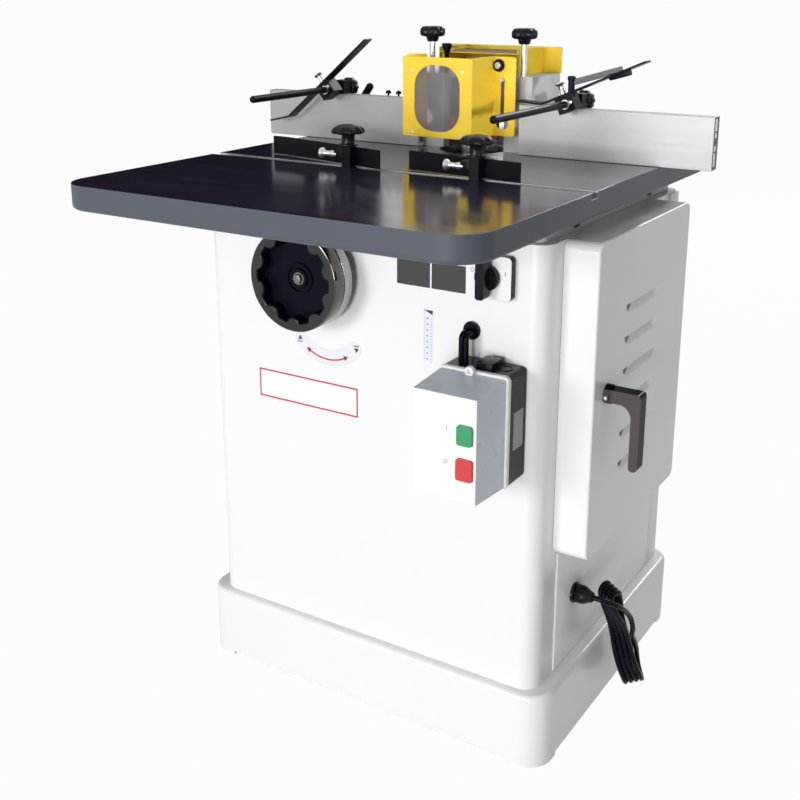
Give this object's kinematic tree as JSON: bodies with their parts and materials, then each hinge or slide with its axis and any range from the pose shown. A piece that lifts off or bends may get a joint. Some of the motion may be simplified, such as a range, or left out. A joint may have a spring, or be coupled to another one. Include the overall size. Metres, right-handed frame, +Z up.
{
  "type": "spindle moulder",
  "caption": "Floor-standing spindle moulder: cast table on a sheet cabinet, split fence with yellow cutter guard, hold-down springs, hand wheel for spindle height and a motor door.",
  "frame": {"origin": "on the floor, under the middle of the table's plan", "axes": "+Z up, -Y towards the operator, +X to the operator's right, where the motor door is"},
  "size_m": [0.868, 0.88, 1.121],
  "materials": {
    "white_paint": "gloss",
    "table_iron": "ground and polished",
    "ring_steel": "ground",
    "frame_grey": "satin",
    "board_aluminium": "satin",
    "yellow_paint": "gloss",
    "housing_grey": "painted satin",
    "clear_pane": "clear",
    "black_plastic": "satin",
    "cover_plastic": "matte",
    "white_plastic": "matte",
    "green_plastic": "gloss",
    "red_plastic": "gloss",
    "wheel_chrome": "polished",
    "bright_steel": "ground",
    "black_steel": "satin",
    "grey_casting": "painted",
    "cutter_red": "satin",
    "bush_bronze": "machined",
    "cord_rubber": "gloss"
  },
  "bodies": {
    "stand": {"plinth": "white_paint", "cabinet_shell": "white_paint", "top_frame": "frame_grey", "table": "table_iron", "table_ring": "ring_steel", "slide_column": "grey_casting", "wheel_bush": "bush_bronze", "starter_base": "black_plastic", "starter_cover": "cover_plastic", "starter_cable": "cord_rubber", "cable_grommet": "cord_rubber", "switch_body": "white_plastic", "door_hinges": "white_paint", "cord_gland": "black_plastic", "cord_lead": "cord_rubber", "cord_hank": "cord_rubber"},
    "lift": {"carriage": "grey_casting", "spindle_bearings": "bright_steel", "motor": "grey_casting", "drive_belt": "cord_rubber"},
    "spindle": {"spindle_shaft": "bright_steel", "spindle_pulley": "bright_steel", "cutter_block": "cutter_red", "spacer_collars": "bright_steel", "spindle_nut": "bright_steel"},
    "rotor": {"motor_shaft": "bright_steel", "motor_pulley": "grey_casting"},
    "wheel": {"hand_wheel": "wheel_chrome", "wheel_cup": "black_plastic", "wheel_shaft": "bright_steel"},
    "screw": {"lead_screw": "bright_steel"},
    "fence": {"fence_housing": "housing_grey", "rear_hood": "yellow_paint"},
    "guard": {"front_guard": "yellow_paint", "guard_window": "clear_pane"},
    "door": {"motor_door": "white_paint"},
    "latch": {"door_latch": "black_plastic"},
    "start": {"start_button": "green_plastic"},
    "stop": {"stop_button": "red_plastic"},
    "selector": {"switch_knob": "black_plastic"},
    "left_board": {"left_fence_board": "board_aluminium", "left_rod": "black_steel"},
    "left_top_knob": {"left_fence_knob": "black_plastic"},
    "left_arm": {"left_hold_down_clamp": "black_steel", "left_hold_down_spring": "black_steel"},
    "left_rod_knob": {"left_hold_down_knob": "black_plastic"},
    "left_post": {"left_pressure_post": "black_steel", "left_pressure_spring": "black_steel"},
    "left_post_knob": {"left_pressure_knob": "black_plastic"},
    "left_lever": {"left_lock_lever": "black_steel"},
    "right_board": {"right_fence_board": "board_aluminium", "right_rod": "black_steel"},
    "right_top_knob": {"right_fence_knob": "black_plastic"},
    "right_arm": {"right_hold_down_clamp": "black_steel", "right_hold_down_spring": "black_steel"},
    "right_rod_knob": {"right_hold_down_knob": "black_plastic"},
    "right_post": {"right_pressure_post": "black_steel", "right_pressure_spring": "black_steel"},
    "right_post_knob": {"right_pressure_knob": "black_plastic"},
    "right_lever": {"right_lock_lever": "black_steel"}
  },
  "joints": [
    {"name": "spindle_lift", "type": "slide", "parent": "stand", "child": "lift", "axis": [0, 0, 1], "range_m": [-0.05, 0.025]},
    {"name": "rotor_turn", "type": "hinge", "parent": "lift", "child": "rotor", "pos_m": [0.195, 0.105, 0.5], "axis": [0, 0, 1], "continuous": true},
    {"name": "spindle_turn", "type": "hinge", "parent": "lift", "child": "spindle", "pos_m": [0, 0.198, 0.7], "axis": [0, 0, 1], "continuous": true},
    {"name": "wheel_turn", "type": "hinge", "parent": "stand", "child": "wheel", "pos_m": [-0.086, -0.2, 0.752], "axis": [0, 1, 0], "range_deg": [-3610, 1810]},
    {"name": "screw_turn", "type": "hinge", "parent": "stand", "child": "screw", "pos_m": [-0.086, 0.11, 0.65], "axis": [0, 0, 1], "range_deg": [-1810, 3610]},
    {"name": "fence_slide", "type": "slide", "parent": "stand", "child": "fence", "axis": [0, 1, 0], "range_m": [-0.02, 0.02]},
    {"name": "guard_lift", "type": "slide", "parent": "fence", "child": "guard", "axis": [0, 0, 1], "range_m": [0, 0.06]},
    {"name": "door_swing", "type": "hinge", "parent": "stand", "child": "door", "pos_m": [0.326, 0.291, 0.6], "axis": [0, 0, 1], "range_deg": [0, 110]},
    {"name": "latch_turn", "type": "hinge", "parent": "door", "child": "latch", "pos_m": [0.37, -0.054, 0.606], "axis": [1, 0, 0], "range_deg": [0, 90]},
    {"name": "start_press", "type": "slide", "parent": "stand", "child": "start", "axis": [0, 1, 0], "range_m": [0, 0.004], "stiffness_N_per_m": 500},
    {"name": "stop_press", "type": "slide", "parent": "stand", "child": "stop", "axis": [0, 1, 0], "range_m": [0, 0.004], "stiffness_N_per_m": 500},
    {"name": "selector_turn", "type": "hinge", "parent": "stand", "child": "selector", "pos_m": [0.228, -0.17, 0.79], "axis": [0, 1, 0], "range_deg": [-60, 60]},
    {"name": "left_board_slide", "type": "slide", "parent": "fence", "child": "left_board", "axis": [1, 0, 0], "range_m": [-0.04, 0.01]},
    {"name": "left_top_knob_turn", "type": "hinge", "parent": "fence", "child": "left_top_knob", "pos_m": [-0.09, 0.2052, 1.1], "axis": [0, 0, 1], "range_deg": [-360, 360]},
    {"name": "left_arm_swing", "type": "hinge", "parent": "left_board", "child": "left_arm", "pos_m": [-0.275, 0.148, 1.006], "axis": [0, 1, 0], "range_deg": [-5, 40]},
    {"name": "left_rod_knob_turn", "type": "hinge", "parent": "left_board", "child": "left_rod_knob", "pos_m": [-0.275, 0.21, 1.006], "axis": [0, 1, 0], "range_deg": [-180, 180]},
    {"name": "left_post_slide", "type": "slide", "parent": "stand", "child": "left_post", "axis": [1, 0, 0], "range_m": [-0.06, 0.06]},
    {"name": "left_post_knob_turn", "type": "hinge", "parent": "left_post", "child": "left_post_knob", "pos_m": [-0.073, -0.0835, 0.96], "axis": [0, 0, 1], "range_deg": [-180, 180]},
    {"name": "left_lever_turn", "type": "hinge", "parent": "fence", "child": "left_lever", "pos_m": [-0.28, 0.23, 0.955], "axis": [0, 1, 0], "range_deg": [0, 55]},
    {"name": "right_board_slide", "type": "slide", "parent": "fence", "child": "right_board", "axis": [1, 0, 0], "range_m": [-0.01, 0.04]},
    {"name": "right_top_knob_turn", "type": "hinge", "parent": "fence", "child": "right_top_knob", "pos_m": [0.09, 0.2052, 1.1], "axis": [0, 0, 1], "range_deg": [-360, 360]},
    {"name": "right_arm_swing", "type": "hinge", "parent": "right_board", "child": "right_arm", "pos_m": [0.2, 0.148, 1.006], "axis": [0, 1, 0], "range_deg": [-5, 40]},
    {"name": "right_rod_knob_turn", "type": "hinge", "parent": "right_board", "child": "right_rod_knob", "pos_m": [0.2, 0.21, 1.006], "axis": [0, 1, 0], "range_deg": [-180, 180]},
    {"name": "right_post_slide", "type": "slide", "parent": "stand", "child": "right_post", "axis": [1, 0, 0], "range_m": [-0.06, 0.06]},
    {"name": "right_post_knob_turn", "type": "hinge", "parent": "right_post", "child": "right_post_knob", "pos_m": [0.158, -0.0835, 0.96], "axis": [0, 0, 1], "range_deg": [-180, 180]},
    {"name": "right_lever_turn", "type": "hinge", "parent": "fence", "child": "right_lever", "pos_m": [0.28, 0.23, 0.955], "axis": [0, 1, 0], "range_deg": [-65, 0]}
  ],
  "couplings": [
    {"joint": "wheel_turn", "follows": "spindle_lift", "rad_per_m": 1256.6},
    {"joint": "screw_turn", "follows": "spindle_lift", "rad_per_m": -1256.6},
    {"joint": "spindle_turn", "follows": "rotor_turn", "ratio": 2}
  ]
}
